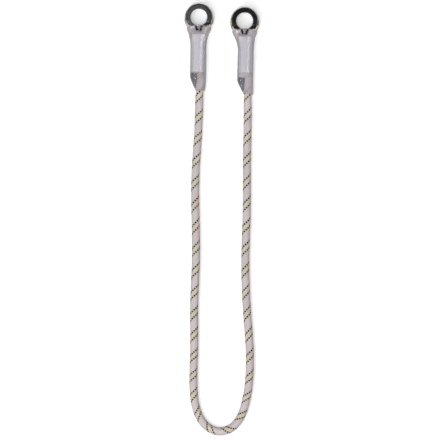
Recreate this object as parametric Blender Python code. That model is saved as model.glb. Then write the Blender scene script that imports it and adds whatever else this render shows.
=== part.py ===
"""Safety rope lanyard: one 11 mm kernmantle rope with a sewn eye at each end.

The lanyard lies flat, face up. Each eye has a moulded thimble, the rope folded back along itself,
zig-zag sewing through both legs, a label wrapped round them and a shrink sleeve over it all.
Sizes below are in millimetres, and an eye's own frame has its origin at the bore of its thimble,
with the sleeve towards -Y.
"""
import math

import bmesh
import bpy
import numpy as np
from mathutils import Vector

MM = 0.001

# Rope: a braided sheath over a core
ROPE_RADIUS = 5.5
SHEATH_WALL = 1.0
CORE_INSET = 1.5
ROPE_SIDES = 12
CORE_SIDES = 8
GAP = 0.3
JUNCTION_GAP = 0.5

# Thimble: a ring with a round groove for the rope, and a heel that fills the crotch between the legs
BORE_RADIUS = 11.35
FLANGE_RADIUS = 18.0
THIMBLE_HALF = 8.5
GROOVE_ROOT = 12.25
GROOVE_CENTRE = 15.9
GROOVE_HALF = 7.35
THIMBLE_STEPS = 36
FLANGE_END_Y = -12.0
RAMP_TOP_Y = -6.0
RAMP_SLOPE = 0.235
HEEL_INNER_RADIUS = 11.8
HEEL_TOP = (8.4, -9.2)
HEEL_FLANK = (5.05, -17.4)
HEEL_TIP = (4.1, -19.3)
HEEL_HALF = 7.4
SLOT_TOP = (3.9, -12.9)
SLOT_BOTTOM = (2.0, -17.9)
SLOT_RADIUS = 0.95
SLOT_FLOOR = 3.4

# Shrink sleeve and label
SLEEVE_WALL = 0.6
SLEEVE_ARCH_X = 17.05
SLEEVE_SHOULDER_Y = -83.0
SLEEVE_MOUTH_Y = -100.8
SLEEVE_SIDES = 20
MOUTH_RADIUS = 6.25
MOUTH_END_RADIUS = 5.9
MOUTH_FLAP = 1.7
COLLAPSE_END = 0.75
COLLAPSE_RINGS = (0.25, 0.5, 0.75, 0.88, 1.0)
TAIL_EDGE_DEPTH = 4.9
TAIL_EDGE_END_RADIUS = 3.2
ROPE_EDGE_DEPTH = 6.7
LABEL_GAP = 0.2
LABEL_THICKNESS = 0.25
LABEL_HALF_WIDTH = 9.4
LABEL_STEPS = 12

# Sewing
THREAD_RADIUS = 0.4
STITCH_TOP_Y = -40.0
STITCH_BOTTOM_Y = -70.5
STITCH_TEETH = 7
STITCH_REACH = 3.4
STITCH_HEIGHT = 6.1

# Height of the middle plane of an eye above the surface, and where the rope comes down to it
EYE_HEIGHT = THIMBLE_HALF
DROP_START_Y = -84.0
DROP_LENGTH = 66.0

# Where the sewn body takes up its lean, and where the standing leg crosses to the sleeve's mouth
LEAN_START_Y = -14.0
LEAN_FULL_Y = -38.0
LEAN_END_Y = -76.0
CROSSING_START_Y = -80.0
CROSSING_LENGTH = 26.0

# Where the sleeve grips the single rope, and where the eye's rope ends and the free rope begins
GRIP_START_Y = -76.0
GRIP_MIDDLE_Y = -86.0
JUNCTION_Y = -96.0
GRIPPED_RADIUS = 5.22
FREE_START_Y = -104.0

# Melted end of the tail below its cut face: y, half depth
TAIL_SEAL = ((-83.0, 5.2), (-88.0, 4.3), (-93.0, 3.0), (-97.0, 1.8))

# One leg of the eye from the sewn body up to the crown: x, y, half width, half depth
HALF_LOOP = (
    (4.95, -58.0, 4.8, 5.7),
    (4.95, -42.0, 4.8, 5.7),
    (5.25, -34.0, 4.8, 5.7),
    (7.1, -25.0, 4.6, 5.85),
    (10.25, -17.7, 4.35, 6.1),
    (12.95, -11.15, 4.25, 6.3),
    (15.7, -5.75, 3.85, 6.6),
    (16.2, 0.0, 3.5, 6.85),
    (13.86, 8.0, 3.3, 7.0),
    (7.95, 13.77, 3.2, 7.0),
)
CROWN = (0.0, 15.9, 3.2, 7.0)
LEG_X = 4.95
LEG_HALF = (4.8, 5.7)

# Sleeve from the thimble down to the shoulder: y, arch, half width, half depth, end radius
SLEEVE_STATIONS = (
    (-10.3, 4.0, 17.3, 8.3, 6.0),
    (-13.2, 3.0, 17.2, 7.75, 5.8),
    (-16.5, 2.0, 16.6, 7.6, 5.8),
    (-20.0, 1.0, 15.3, 7.6, 5.8),
    (-24.0, 0.3, 13.8, 7.6, 5.8),
    (-28.5, 0.0, 12.7, 7.6, 6.0),
    (-33.5, 0.0, 11.7, 7.6, 6.0),
    (-40.0, 0.0, 11.2, 7.7, 6.0),
    (-74.0, 0.0, 11.3, 7.7, 6.0),
    (-83.0, 0.0, 11.3, 7.3, 6.0),
)

# The two eyes: where the bore is, how far the sewn body leans at its top and its end, where the rope leaves
EYES = {
    "left": {
        "centre": (-31.4, 277.9),
        "lean": (-0.65, -1.2),
        "exit_x": 0.65,
        "tail_end": -76.2,
        "label": (-23.0, -75.2),
    },
    "right": {
        "centre": (31.45, 272.8),
        "lean": (1.6, 0.8),
        "exit_x": 4.3,
        "tail_end": -77.4,
        "label": (-21.2, -71.5),
    },
}

# Route of the free rope, from the left sleeve round the bend to the right sleeve: x, y
ROUTE = (
    (-31.0, 162.0),
    (-31.5, 145.0),
    (-32.6, 118.0),
    (-34.6, 89.0),
    (-36.2, 60.0),
    (-36.6, 30.0),
    (-36.0, 1.0),
    (-35.5, -28.0),
    (-35.6, -57.0),
    (-36.8, -87.0),
    (-37.9, -117.0),
    (-37.9, -147.0),
    (-38.0, -177.0),
    (-38.8, -206.0),
    (-38.9, -230.0),
    (-37.6, -248.0),
    (-34.0, -263.5),
    (-28.0, -276.0),
    (-19.8, -285.2),
    (-10.2, -290.2),
    (0.0, -291.5),
    (9.8, -288.6),
    (18.2, -282.4),
    (24.8, -273.4),
    (29.8, -262.0),
    (33.6, -248.0),
    (36.6, -231.0),
    (38.5, -205.0),
    (38.3, -176.0),
    (36.3, -147.0),
    (34.2, -117.0),
    (32.8, -87.0),
    (32.4, -57.0),
    (33.1, -27.0),
    (34.1, 3.0),
    (34.5, 33.0),
    (34.5, 63.0),
    (34.8, 93.0),
    (35.4, 122.0),
    (35.6, 150.0),
)

ROPE_COLOUR = (0.60, 0.52, 0.50)
CORE_COLOUR = (0.82, 0.82, 0.80)
THIMBLE_COLOUR = (0.014, 0.013, 0.015)
SEAL_COLOUR = (0.13, 0.12, 0.13)
THREAD_COLOUR = (0.75, 0.74, 0.72)
LABEL_COLOUR = (0.72, 0.70, 0.73)
SLEEVE_COLOUR = (0.55, 0.53, 0.55)


def clear_scene():
    """Empties the file, so that the part is alone in it."""
    for old in list(bpy.data.objects):
        bpy.data.objects.remove(old, do_unlink=True)


def material(name, colour, roughness, alpha=1.0):
    """A plain surface for one piece."""
    made = bpy.data.materials.new(name)
    made.use_nodes = True
    shader = made.node_tree.nodes["Principled BSDF"]
    shader.inputs["Base Color"].default_value = (*colour, 1.0)
    shader.inputs["Roughness"].default_value = roughness
    shader.inputs["Metallic"].default_value = 0.0
    shader.inputs["Alpha"].default_value = alpha
    made.diffuse_color = (*colour, alpha)
    return made


def add_object(name, data, finish=None):
    """Links new data to the scene as a named object."""
    made = bpy.data.objects.new(name, data)
    bpy.context.collection.objects.link(made)
    if finish:
        data.materials.append(finish)
    return made


def ease(t):
    """A smooth step from 0 to 1."""
    t = min(max(t, 0.0), 1.0)
    return t * t * (3.0 - 2.0 * t)


def mix(a, b, t):
    """The value a share t of the way from a to b."""
    return a + (b - a) * t


def natural_spline(rows, steps):
    """Points on the smooth curve through the rows, with steps[i] of them on stretch i."""
    p = np.array(rows, dtype=float)
    length = np.linalg.norm(np.diff(p[:, :3], axis=0), axis=1)
    count = len(p)
    system = np.eye(count)
    right = np.zeros_like(p)
    for i in range(1, count - 1):
        before, after = length[i - 1], length[i]
        system[i, i - 1:i + 2] = (before, 2 * (before + after), after)
        right[i] = 6 * ((p[i + 1] - p[i]) / after - (p[i] - p[i - 1]) / before)
    bend = np.linalg.solve(system, right)
    out = []
    for i, span in enumerate(length):
        for k in range(steps[i]):
            t = span * k / steps[i]
            slope = (p[i + 1] - p[i]) / span - span * (2 * bend[i] + bend[i + 1]) / 6
            out.append(p[i] + slope * t + bend[i] * t**2 / 2 + (bend[i + 1] - bend[i]) * t**3 / (6 * span))
    out.append(p[-1])
    return out


def mesh_from_rings(name, rings, inner_rings=None):
    """Skins a row of closed rings. With inner rings it is a tube with a wall, else its ends are closed."""
    bm = bmesh.new()

    def skin(loops):
        made = [[bm.verts.new(Vector(v) * MM) for v in loop] for loop in loops]
        for a, b in zip(made, made[1:]):
            for j in range(len(a)):
                k = (j + 1) % len(a)
                bm.faces.new((a[j], a[k], b[k], b[j]))
        return made

    outer = skin(rings)
    if inner_rings:
        inner = skin(inner_rings)
        for a, b in ((outer[0], inner[0]), (outer[-1], inner[-1])):
            for j in range(len(a)):
                k = (j + 1) % len(a)
                bm.faces.new((a[j], a[k], b[k], b[j]))
    else:
        bm.faces.new(outer[0])
        bm.faces.new(outer[-1])
    bmesh.ops.recalc_face_normals(bm, faces=bm.faces)
    mesh = bpy.data.meshes.new(name)
    bm.to_mesh(mesh)
    bm.free()
    mesh.shade_smooth()
    mesh.set_sharp_from_angle(angle=math.radians(50))
    return mesh


def place_in_eye(made, eye):
    """Puts an object, built in an eye's frame, where that eye lies."""
    x, y = eye["centre"]
    made.location = (x * MM, y * MM, EYE_HEIGHT * MM)
    return made


# Where the parts of an eye are, as functions of y
def lean_at(eye, y):
    """Sideways shift of the sewn body."""
    top, end = eye["lean"]
    below = min(max((LEAN_FULL_Y - y) / (LEAN_FULL_Y - LEAN_END_Y), 0.0), 1.0)
    return mix(top, end, below) * ease((LEAN_START_Y - y) / (LEAN_START_Y - LEAN_FULL_Y))


def standing_x(eye, y):
    """Middle of the standing leg from the sewn body to the sleeve's mouth."""
    return mix(lean_at(eye, y) + LEG_X, eye["exit_x"], ease((CROSSING_START_Y - y) / CROSSING_LENGTH))


def drop_at(y):
    """How far the standing rope has come down from the eye's middle plane."""
    return (EYE_HEIGHT - ROPE_RADIUS) * ease((DROP_START_Y - y) / DROP_LENGTH)


def eye_path(eye):
    """The rope's middle line in the eye, with its half width and half depth: tail, loop, standing leg."""
    tail = [(lean_at(eye, eye["tail_end"]) - LEG_X, eye["tail_end"], 0.0, *LEG_HALF)]
    tail += [(lean_at(eye, y) - x, y, 0.0, w, h) for x, y, w, h in HALF_LOOP]
    crown = [(CROWN[0], CROWN[1], 0.0, CROWN[2], CROWN[3])]
    standing = [(lean_at(eye, y) + x, y, 0.0, w, h) for x, y, w, h in reversed(HALF_LOOP)]
    for y in (GRIP_START_Y, GRIP_MIDDLE_Y, JUNCTION_Y):
        squeeze = ease((GRIP_START_Y - y) / (GRIP_START_Y - JUNCTION_Y))
        half_width = mix(LEG_HALF[0], GRIPPED_RADIUS, squeeze)
        half_depth = mix(LEG_HALF[1], GRIPPED_RADIUS, squeeze)
        standing.append((standing_x(eye, y), y, -drop_at(y), half_width, half_depth))
    rows = tail + crown + standing
    steps = [2 if min(a[1], b[1]) > -30.0 else 1 for a, b in zip(rows, rows[1:])]
    return natural_spline(rows, steps)


def ellipse_rings(path, inset, sides):
    """Oval rings across a path whose rows hold x, y, z, half width and half depth."""
    rings = []
    for i, row in enumerate(path):
        before = path[max(i - 1, 0)][:3]
        after = path[min(i + 1, len(path) - 1)][:3]
        along = Vector(after - before).normalized()
        across = Vector((along.y, -along.x, 0.0)).normalized()
        up = across.cross(along)
        ring = []
        for k in range(sides):
            a = 2 * math.pi * k / sides
            ring.append(
                Vector(row[:3])
                + across * (row[3] - inset) * math.cos(a)
                + up * (row[4] - inset) * math.sin(a)
            )
        rings.append(ring)
    return rings


def make_eye_rope(side, eye):
    """The sheath of the eye as a tube with a wall, and its core."""
    path = eye_path(eye)
    outer = ellipse_rings(path, 0.0, ROPE_SIDES)
    inner = ellipse_rings(path, SHEATH_WALL, ROPE_SIDES)
    mesh = mesh_from_rings(f"{side}_eye_sheath", outer, inner)
    place_in_eye(add_object(mesh.name, mesh, material(f"{side} eye sheath", ROPE_COLOUR, 0.85)), eye)
    core = mesh_from_rings(f"{side}_eye_core", ellipse_rings(path, CORE_INSET, CORE_SIDES))
    place_in_eye(add_object(core.name, core, material(f"{side} eye core", CORE_COLOUR, 0.8)), eye)


def sleeve_sizes(y):
    """The sleeve's arch, half width, half depth and end radius at a height above its shoulder."""
    table = np.array(SLEEVE_STATIONS[::-1])
    return [float(np.interp(y, table[:, 0], table[:, c])) for c in range(1, 5)]


def sleeve_station(eye, y):
    """Left, right, depths and end radii of the sleeve's outside, as a row of named values."""
    arch, half, depth, end = sleeve_sizes(max(y, SLEEVE_SHOULDER_Y))
    lean = lean_at(eye, y)
    row = {"y": y, "arch": arch, "left": lean - half, "right": lean + half, "z": 0.0}
    row.update(deep_left=depth, deep_right=depth, end_left=end, end_right=end)
    if y < SLEEVE_SHOULDER_Y:
        u = (SLEEVE_SHOULDER_Y - y) / (SLEEVE_SHOULDER_Y - SLEEVE_MOUTH_Y)
        collapse = min(u / COLLAPSE_END, 1.0)
        closing = ease((u - COLLAPSE_END) / (1.0 - COLLAPSE_END))
        mouth_x = standing_x(eye, SLEEVE_MOUTH_Y)
        row["left"] = mix(lean - half, mouth_x - MOUTH_RADIUS, u)
        row["right"] = mix(lean + half, mouth_x + MOUTH_RADIUS + MOUTH_FLAP, u)
        row["deep_left"] = mix(mix(depth, TAIL_EDGE_DEPTH, collapse), MOUTH_RADIUS, closing)
        row["deep_right"] = mix(mix(depth, ROPE_EDGE_DEPTH, u), MOUTH_RADIUS, closing)
        row["end_left"] = mix(mix(end, TAIL_EDGE_END_RADIUS, collapse), MOUTH_END_RADIUS, closing)
        row["end_right"] = mix(end, MOUTH_END_RADIUS + MOUTH_FLAP, closing)
        row["z"] = -drop_at(y)
    return row


def sleeve_ring(row, inset):
    """One closed ring of a sleeve or label: two half ovals joined by flats, bowed along Y by the arch."""
    half = SLEEVE_SIDES // 2
    flat = []
    for k in range(half):
        a = math.pi * (k / (half - 1) - 0.5)
        end, deep = row["end_right"] - inset, row["deep_right"] - inset
        flat.append((row["right"] - inset - end + end * math.cos(a), deep * math.sin(a)))
    for k in range(half):
        a = math.pi * (k / (half - 1) + 0.5)
        end, deep = row["end_left"] - inset, row["deep_left"] - inset
        flat.append((row["left"] + inset + end + end * math.cos(a), deep * math.sin(a)))
    return [Vector((x, row["y"] - row["arch"] * (x / SLEEVE_ARCH_X) ** 2, row["z"] + z)) for x, z in flat]


def make_sleeve(side, eye):
    """The shrink sleeve, a lofted shell that is wide at the thimble and closes down to the single rope."""
    heights = [row[0] for row in SLEEVE_STATIONS]
    heights += [mix(SLEEVE_SHOULDER_Y, SLEEVE_MOUTH_Y, u) for u in COLLAPSE_RINGS]
    rows = [sleeve_station(eye, y) for y in heights]
    mesh = mesh_from_rings(
        f"{side}_sleeve",
        [sleeve_ring(row, 0.0) for row in rows],
        [sleeve_ring(row, SLEEVE_WALL) for row in rows],
    )
    place_in_eye(add_object(mesh.name, mesh, material(f"{side} sleeve", SLEEVE_COLOUR, 0.3, 0.5)), eye)


def sleeve_height(row, x, inset):
    """Height of the sleeve's front face, inset from its outside, over a point x across it."""
    right = row["right"] - row["end_right"]
    left = row["left"] + row["end_left"]
    beyond = max(x - right, left - x, 0.0)
    deep, end = row["deep_right"] - inset, row["end_right"] - inset
    return row["z"] + deep * math.sqrt(1.0 - (beyond / end) ** 2)


def make_label(side, eye):
    """The label, a thin strip bent over the front of both legs, under the sleeve."""
    top, bottom = eye["label"]
    heights = [top] + [row[0] for row in SLEEVE_STATIONS if bottom < row[0] < top] + [bottom]
    outside = SLEEVE_WALL + LABEL_GAP
    rings = []
    for y in heights:
        row, lean = sleeve_station(eye, y), lean_at(eye, y)
        shares = [2 * k / LABEL_STEPS - 1 for k in range(LABEL_STEPS + 1)]
        across = [lean + share * LABEL_HALF_WIDTH for share in shares]
        front = [Vector((x, y, sleeve_height(row, x, outside))) for x in across]
        back = [Vector((x, y, sleeve_height(row, x, outside + LABEL_THICKNESS))) for x in reversed(across)]
        rings.append(front + back)
    mesh = mesh_from_rings(f"{side}_label", rings)
    place_in_eye(add_object(mesh.name, mesh, material(f"{side} label", LABEL_COLOUR, 0.5)), eye)


def make_tail_seal(side, eye):
    """The melted, bevel-cut end of the tail, which tapers down between the sleeve and the standing rope."""
    rings = []
    for y, half_depth in ((eye["tail_end"] - GAP, LEG_HALF[1]), *TAIL_SEAL):
        row = sleeve_station(eye, y)
        left = max(row["left"] + SLEEVE_WALL + GAP, lean_at(eye, y) - LEG_X - LEG_HALF[0])
        right = standing_x(eye, y) - GRIPPED_RADIUS - GAP
        middle, half_width = mix(left, right, 0.5), (right - left) / 2
        ring = []
        for k in range(ROPE_SIDES):
            a = 2 * math.pi * k / ROPE_SIDES
            ring.append(Vector((middle + half_width * math.cos(a), y, row["z"] + half_depth * math.sin(a))))
        rings.append(ring)
    mesh = mesh_from_rings(f"{side}_tail_seal", rings)
    place_in_eye(add_object(mesh.name, mesh, material(f"{side} tail seal", SEAL_COLOUR, 0.45)), eye)


def make_curve(name, rows, radius, resolution, finish, caps=True):
    """A round cord as a poly curve with a bevel. Rows hold x, y, z and a radius factor."""
    curve = bpy.data.curves.new(name, "CURVE")
    curve.dimensions = "3D"
    curve.bevel_depth = radius * MM
    curve.bevel_resolution = resolution
    curve.use_fill_caps = caps
    spline = curve.splines.new("POLY")
    spline.points.add(len(rows) - 1)
    for point, row in zip(spline.points, rows):
        point.co = (row[0] * MM, row[1] * MM, row[2] * MM, 1.0)
        point.radius = row[3]
    spline.use_smooth = True
    return add_object(name, curve, finish)


def make_threads(side, eye):
    """The zig-zag sewing: the needle thread on the front face and the bobbin thread on the back."""
    for name, face in (("needle_thread", 1), ("bobbin_thread", -1)):
        rows = []
        count = STITCH_TEETH * 4
        for i in range(count + 1):
            y = mix(STITCH_TOP_Y, STITCH_BOTTOM_Y, i / count)
            swing = math.sin(math.pi * i / 2 + math.pi / 4)
            across = lean_at(eye, y) + STITCH_REACH * swing * math.sqrt(2) * face
            rows.append((across, y, face * STITCH_HEIGHT, 1.0))
        finish = material(f"{side} {name}", THREAD_COLOUR, 0.6)
        place_in_eye(make_curve(f"{side}_{name}", rows, THREAD_RADIUS, 1, finish), eye)


def make_rope():
    """The free rope: its sheath, a tube with a wall, and its core."""
    ends = {}
    for side, eye in EYES.items():
        ends[side] = []
        for y in (JUNCTION_Y - JUNCTION_GAP, FREE_START_Y):
            x = eye["centre"][0] + standing_x(eye, y)
            squeeze = GRIPPED_RADIUS / ROPE_RADIUS
            ends[side].append((x, eye["centre"][1] + y, EYE_HEIGHT - drop_at(y), squeeze))
    between = []
    for x, y in ROUTE:
        eye = EYES["left" if x < 0 else "right"]
        between.append((x, y, EYE_HEIGHT - drop_at(y - eye["centre"][1]), 1.0))
    rows = ends["left"] + between + ends["right"][::-1]
    smooth = natural_spline(rows, [1] * (len(rows) - 1))
    finish = material("rope sheath", ROPE_COLOUR, 0.85)
    sheath = make_curve("rope_sheath", smooth, ROPE_RADIUS, 3, finish, caps=False)
    wall = sheath.modifiers.new("wall", "SOLIDIFY")
    wall.thickness = SHEATH_WALL * MM
    wall.offset = -1.0
    core_radius = ROPE_RADIUS - CORE_INSET
    make_curve("rope_core", smooth, core_radius, 2, material("rope core", CORE_COLOUR, 0.8))


def prism(name, outline, low, high, plane="XY"):
    """A hidden cutter or filler: an outline in XY or YZ, extruded along the third axis from low to high."""
    bm = bmesh.new()
    ends = []
    for level in (low, high):
        if plane == "XY":
            ends.append([bm.verts.new(Vector((a, b, level)) * MM) for a, b in outline])
        else:
            ends.append([bm.verts.new(Vector((level, a, b)) * MM) for a, b in outline])
    bm.faces.new(ends[0])
    bm.faces.new(ends[1])
    for j in range(len(outline)):
        k = (j + 1) % len(outline)
        bm.faces.new((ends[0][j], ends[0][k], ends[1][k], ends[1][j]))
    bmesh.ops.recalc_face_normals(bm, faces=bm.faces)
    mesh = bpy.data.meshes.new(name)
    bm.to_mesh(mesh)
    bm.free()
    made = add_object(name, mesh)
    made.hide_render = True
    made.display_type = "WIRE"
    return made


def combine(target, other, operation):
    """Adds a live Boolean with an exact solver."""
    step = target.modifiers.new(other.name, "BOOLEAN")
    step.operation = operation
    step.object = other
    step.solver = "EXACT"


def thimble_profile():
    """The ring's section as r, z, running down its outer side, groove and all, then up the bore."""
    flange = [(16.9, THIMBLE_HALF), (17.75, 8.2), (FLANGE_RADIUS, 7.75), (17.8, GROOVE_HALF)]
    groove = []
    for k in range(7):
        a = math.pi * k / 6
        depth = GROOVE_CENTRE - GROOVE_ROOT
        groove.append((GROOVE_CENTRE - depth * math.sin(a), GROOVE_HALF * math.cos(a)))
    bore = [(BORE_RADIUS, 3.0), (11.75, 6.4), (12.4, 7.9), (13.3, THIMBLE_HALF)]
    lower_flange = [(r, -z) for r, z in reversed(flange)]
    lower_bore = [(r, -z) for r, z in reversed(bore)]
    return flange + groove + lower_flange + lower_bore + bore


def heel_outline():
    """The heel seen from the front: its top lies inside the ring's wall, its flanks follow the legs."""
    arc = []
    for k in range(7):
        a = math.radians(mix(-45.0, -135.0, k / 6))
        arc.append((HEEL_INNER_RADIUS * math.cos(a), HEEL_INNER_RADIUS * math.sin(a)))
    left = [(-HEEL_TOP[0], HEEL_TOP[1]), (-HEEL_FLANK[0], HEEL_FLANK[1]), (-HEEL_TIP[0], HEEL_TIP[1])]
    tip = [(-2.4, HEEL_TIP[1] - 0.6), (2.4, HEEL_TIP[1] - 0.6)]
    return arc + left + tip + [(-x, y) for x, y in reversed(left)]


def slot_outline(side):
    """One slot of the heel: a bar with round ends that leans in towards the tip."""
    top = Vector((side * SLOT_TOP[0], SLOT_TOP[1]))
    bottom = Vector((side * SLOT_BOTTOM[0], SLOT_BOTTOM[1]))
    lean = math.atan2(top.y - bottom.y, top.x - bottom.x)
    outline = []
    for middle, start in ((top, lean - math.pi / 2), (bottom, lean + math.pi / 2)):
        for k in range(5):
            a = start + math.pi * k / 4
            outline.append((middle.x + SLOT_RADIUS * math.cos(a), middle.y + SLOT_RADIUS * math.sin(a)))
    return outline


def make_thimble(side, eye):
    """The moulded thimble: a turned ring, its lower flanges cut off, a ramped heel with coring slots."""
    profile = thimble_profile()
    count = len(profile)
    mesh = bpy.data.meshes.new(f"{side}_thimble")
    points = [(r * MM, 0.0, z * MM) for r, z in profile]
    edges = [(i, (i + 1) % count) for i in range(count)]
    mesh.from_pydata(points, edges, [])
    ring = add_object(mesh.name, mesh, material(f"{side} thimble", THIMBLE_COLOUR, 0.25))
    turn = ring.modifiers.new("turn", "SCREW")
    turn.axis = "Z"
    turn.steps = THIMBLE_STEPS
    turn.render_steps = THIMBLE_STEPS
    turn.use_merge_vertices = True
    turn.merge_threshold = 0.00001
    turn.use_smooth_shade = True
    reach = 30.0
    below = [(-reach, FLANGE_END_Y), (reach, FLANGE_END_Y), (reach, -reach), (-reach, -reach)]
    pieces = [(prism(f"{side} flange cutter", below, -reach, reach), "DIFFERENCE")]
    pieces.append((prism(f"{side} heel", heel_outline(), -HEEL_HALF, HEEL_HALF), "UNION"))
    for face in (1, -1):
        start, end = RAMP_TOP_Y + 1.0, -reach
        ramp = [
            (start, face * (THIMBLE_HALF + RAMP_SLOPE)),
            (end, face * (THIMBLE_HALF - RAMP_SLOPE * (RAMP_TOP_Y - end))),
            (end, face * reach),
            (start, face * reach),
        ]
        pieces.append((prism(f"{side} ramp cutter {face}", ramp, -reach, reach, "YZ"), "DIFFERENCE"))
        for hand in (1, -1):
            low, high = sorted((face * SLOT_FLOOR, face * reach))
            slot = prism(f"{side} slot cutter {face} {hand}", slot_outline(hand), low, high)
            pieces.append((slot, "DIFFERENCE"))
    for other, operation in pieces:
        combine(ring, other, operation)
    for made in [ring] + [other for other, _ in pieces]:
        place_in_eye(made, eye)


def main():
    clear_scene()
    make_rope()
    for side, eye in EYES.items():
        make_thimble(side, eye)
        make_eye_rope(side, eye)
        make_tail_seal(side, eye)
        make_threads(side, eye)
        make_label(side, eye)
        make_sleeve(side, eye)


main()
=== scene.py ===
# %% [markdown]
# # A safety rope lanyard
# The object is one length of kernmantle rope, laid flat in a long U. Each end is folded round a
# moulded thimble, sewn back to itself, and covered with a label and a clear shrink sleeve.
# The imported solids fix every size. This lesson dresses them, from the rope outwards. The lanyard's
# lengths are in millimetres until they reach Blender, which counts in metres, as the studio does.

# %% Load the solids
import math

import bpy
import numpy as np
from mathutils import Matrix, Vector


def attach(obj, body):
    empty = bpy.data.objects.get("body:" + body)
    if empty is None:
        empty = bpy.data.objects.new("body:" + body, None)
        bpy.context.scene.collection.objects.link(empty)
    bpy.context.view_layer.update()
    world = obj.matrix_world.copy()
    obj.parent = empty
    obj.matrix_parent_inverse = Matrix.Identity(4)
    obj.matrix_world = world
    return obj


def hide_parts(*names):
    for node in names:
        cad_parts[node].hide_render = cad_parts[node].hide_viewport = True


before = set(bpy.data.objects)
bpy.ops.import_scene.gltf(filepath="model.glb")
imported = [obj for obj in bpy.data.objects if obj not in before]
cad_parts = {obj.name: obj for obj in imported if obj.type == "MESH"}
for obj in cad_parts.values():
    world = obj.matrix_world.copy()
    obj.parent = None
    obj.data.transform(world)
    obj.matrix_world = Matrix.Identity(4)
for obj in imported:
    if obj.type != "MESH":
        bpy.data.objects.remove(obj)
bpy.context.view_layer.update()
MM = 0.001
print("solids in the frame:", len(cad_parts))

# %% [markdown]
# ## The camera
# The photograph looks straight down from far off, so the bores show no inner wall. A long lens high
# above does the same. The picture's scale comes from the rope, 11 mm thick and 8 pixels wide.

# %% Place the camera
PHOTO_PX = 440
MM_PER_PX = 1.375
PHOTO_CENTRE = (-2.4, -0.7)
MIDDLE_HEIGHT = 8.0
CAMERA_DISTANCE = 4.6


def add_object(name, data):
    """A new object, linked to the scene."""
    made = bpy.data.objects.new(name, data)
    bpy.context.collection.objects.link(made)
    return made


camera = add_object("camera", bpy.data.cameras.new("camera"))
camera.location = (PHOTO_CENTRE[0] * MM, PHOTO_CENTRE[1] * MM, MIDDLE_HEIGHT * MM + CAMERA_DISTANCE)
half_view = PHOTO_PX * MM_PER_PX * MM / 2
camera.data.sensor_fit = "HORIZONTAL"
camera.data.angle = 2 * math.atan(half_view / CAMERA_DISTANCE)
camera.data.clip_end = 20.0
bpy.context.scene.camera = camera
print("view across, m:", round(2 * half_view, 3), "lens, mm:", round(camera.data.lens))

# %% [markdown]
# ## The way that the rope lies
# A natural cubic spline bends as a thin beam would, which is how a rope lies, so its path is one
# smooth curve through a few points. It has three stretches: round the left thimble, the free rope,
# and round the right thimble. Each row holds x, y, z, half width and half depth, because the rope is
# squeezed flat in a thimble.

# %% Curves and blends
def ease(t):
    """A smooth step from 0 to 1."""
    t = np.clip(t, 0.0, 1.0)
    return t * t * (3.0 - 2.0 * t)


def mix(a, b, t):
    """The value a share t of the way from a to b."""
    return a + (b - a) * t


def natural_spline(rows, steps):
    """Points on the smooth curve through the rows, with so many steps from row to row."""
    p = np.array(rows, dtype=float)
    length = np.linalg.norm(np.diff(p[:, :3], axis=0), axis=1)
    system = np.eye(len(p))
    right = np.zeros_like(p)
    for i in range(1, len(p) - 1):
        before, after = length[i - 1], length[i]
        system[i, i - 1:i + 2] = (before, 2 * (before + after), after)
        right[i] = 6 * ((p[i + 1] - p[i]) / after - (p[i] - p[i - 1]) / before)
    bend = np.linalg.solve(system, right)
    out = []
    for i, span in enumerate(length):
        slope = (p[i + 1] - p[i]) / span - span * (2 * bend[i] + bend[i + 1]) / 6
        for t in span * np.arange(steps) / steps:
            curving = bend[i] * t**2 / 2 + (bend[i + 1] - bend[i]) * t**3 / (6 * span)
            out.append(p[i] + slope * t + curving)
    return np.array(out + [p[-1]])


# %% [markdown]
# ## The two eyes
# Each eye is sewn with a lean of its own, as work done by hand is. So one list of points serves both,
# and a few numbers per eye bend it. An eye's origin is its bore, and the sleeve lies towards -Y.

# %% Sizes of the eyes
ROPE_RADIUS = 5.5
STRAND_CREST = 0.25  # the braid's crests stand so far out, and the rope rests on them
EYE_HEIGHT = 8.5
LEG_X = 4.95
LEG_HALF = (4.8, 5.7)
GRIPPED_RADIUS = 5.22
LEAN_START_Y, LEAN_FULL_Y, LEAN_END_Y = -14.0, -38.0, -76.0
CROSSING_START_Y, CROSSING_LENGTH = -80.0, 26.0
DROP_START_Y, DROP_LENGTH = -84.0, 66.0
GRIP_Y = (-76.0, -86.0, -96.0)
FREE_START_Y = -104.0
HALF_LOOP = (
    (4.95, -58.0, 4.8, 5.7), (4.95, -42.0, 4.8, 5.7),
    (5.25, -34.0, 4.8, 5.7), (7.1, -25.0, 4.6, 5.85),
    (10.25, -17.7, 4.35, 6.1), (12.95, -11.15, 4.25, 6.3),
    (15.7, -5.75, 3.85, 6.6), (16.2, 0.0, 3.5, 6.85),
    (13.86, 8.0, 3.3, 7.0), (7.95, 13.77, 3.2, 7.0),
)
CROWN = (0.0, 15.9, 0.0, 3.2, 7.0)
EYES = {
    "left": {
        "centre": (-31.4, 277.9, EYE_HEIGHT), "lean": (-0.65, -1.2), "exit_x": 0.65,
        "tail_end": -76.2, "label": (-23.0, -75.2), "crest": 0.0,
    },
    "right": {
        "centre": (31.45, 272.8, EYE_HEIGHT), "lean": (1.6, 0.8), "exit_x": 4.3,
        "tail_end": -77.4, "label": (-21.2, -71.5), "crest": 1.5,
    },
}

print("between the bores, mm:", round(math.dist(EYES["left"]["centre"], EYES["right"]["centre"]), 1))

# %% Trace the eyes
def lean_at(eye, y):
    """Sideways shift of the sewn body."""
    top, end = eye["lean"]
    below = np.clip((LEAN_FULL_Y - y) / (LEAN_FULL_Y - LEAN_END_Y), 0.0, 1.0)
    return mix(top, end, below) * ease((LEAN_START_Y - y) / (LEAN_START_Y - LEAN_FULL_Y))


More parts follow.
